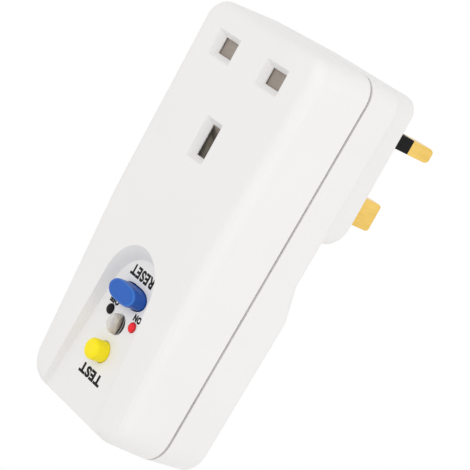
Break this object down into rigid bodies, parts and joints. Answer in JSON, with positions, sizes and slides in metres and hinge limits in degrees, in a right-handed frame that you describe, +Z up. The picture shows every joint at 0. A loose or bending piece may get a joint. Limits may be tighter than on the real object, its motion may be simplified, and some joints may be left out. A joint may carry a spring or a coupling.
{
  "type": "rcd adapter plug",
  "caption": "White plug-in residual current adapter with a wall plug behind, a shuttered socket in front, and reset and test buttons beside a flag window in a scooped recess",
  "frame": {"origin": "on the flat plug face that lies against the wall, midway between the two flat pins", "axes": "+Y runs out of the plug face along the pins into the wall, -Y is the socket front, +Z is up the long way of the body from the flat pins past the earth pin to the buttons, +X is the side of the line pin"},
  "size_m": [0.0528, 0.0628, 0.1119],
  "materials": {
    "housing": "white moulded thermoplastic with a soft sheen",
    "steel": "bright steel screws and spring wire",
    "brass": "bright drawn brass",
    "sleeve": "black insulating sleeve",
    "inner_plastic": "natural ivory moulding",
    "shutter": "warm grey moulding",
    "core": "plain magnetic iron",
    "copper": "enamelled copper winding",
    "black_plastic": "black moulding",
    "board": "green fibreglass laminate",
    "varistor": "blue dipped coating",
    "resistor": "tan lacquer",
    "reset_blue": "blue moulded button",
    "test_yellow": "yellow moulded button",
    "lens": "clear domed plastic window",
    "flag_red": "red and black indicator flag"
  },
  "bodies": {
    "housing": {"front_cover": "housing", "rear_cover": "housing", "cover_screws": "steel", "line_pin": "brass", "neutral_pin": "brass", "earth_pin": "brass", "line_pin_sleeve": "sleeve", "neutral_pin_sleeve": "sleeve", "pin_retainer": "inner_plastic", "contact_carrier": "inner_plastic", "line_socket_contact": "brass", "neutral_socket_contact": "brass", "earth_socket_contact": "brass", "shutter_spring": "steel", "line_inlet_bar": "brass", "neutral_inlet_bar": "brass", "line_outlet_bar": "brass", "neutral_outlet_bar": "brass", "toroid_core": "core", "toroid_winding": "copper", "mechanism_frame": "inner_plastic", "carriage_springs": "steel", "magnet_yoke": "core", "magnet_bobbin": "black_plastic", "magnet_coil": "copper", "circuit_board": "board", "control_chip": "black_plastic", "varistor": "varistor", "capacitor": "black_plastic", "test_resistor": "resistor", "rectifier_diodes": "black_plastic", "reset_spring": "steel", "test_leaf": "brass", "test_terminal": "brass", "test_contact": "brass", "indicator_lens": "lens"},
    "reset": {"reset_button": "reset_blue"},
    "carriage": {"contact_carriage": "inner_plastic", "line_moving_contact": "brass", "neutral_moving_contact": "brass", "armature": "core"},
    "flag": {"indicator_flag": "flag_red"},
    "test": {"test_button": "test_yellow"},
    "shutter": {"shutter": "shutter"}
  },
  "joints": [
    {"name": "reset_press", "type": "slide", "parent": "housing", "child": "reset", "axis": [0, 1, 0], "range_m": [0, 0.0022], "stiffness_N_per_m": 400, "springref_m": -0.001, "deforming": ["reset_spring"]},
    {"name": "carriage_slide", "type": "slide", "parent": "housing", "child": "carriage", "axis": [0, 1, 0], "range_m": [0, 0.0022], "deforming": ["carriage_springs"]},
    {"name": "flag_slide", "type": "slide", "parent": "housing", "child": "flag", "axis": [1, 0, 0], "range_m": [0, 0.0044]},
    {"name": "test_press", "type": "slide", "parent": "housing", "child": "test", "axis": [0, 1, 0], "range_m": [0, 0.0012], "stiffness_N_per_m": 300, "springref_m": -0.001, "deforming": ["test_leaf"]},
    {"name": "shutter_slide", "type": "slide", "parent": "housing", "child": "shutter", "axis": [0, 0, -1], "range_m": [0, 0.0052], "stiffness_N_per_m": 100, "springref_m": -0.002, "deforming": ["shutter_spring"]}
  ],
  "couplings": [
    {"joint": "carriage_slide", "follows": "reset_press", "ratio": 1},
    {"joint": "flag_slide", "follows": "reset_press", "ratio": 2}
  ]
}
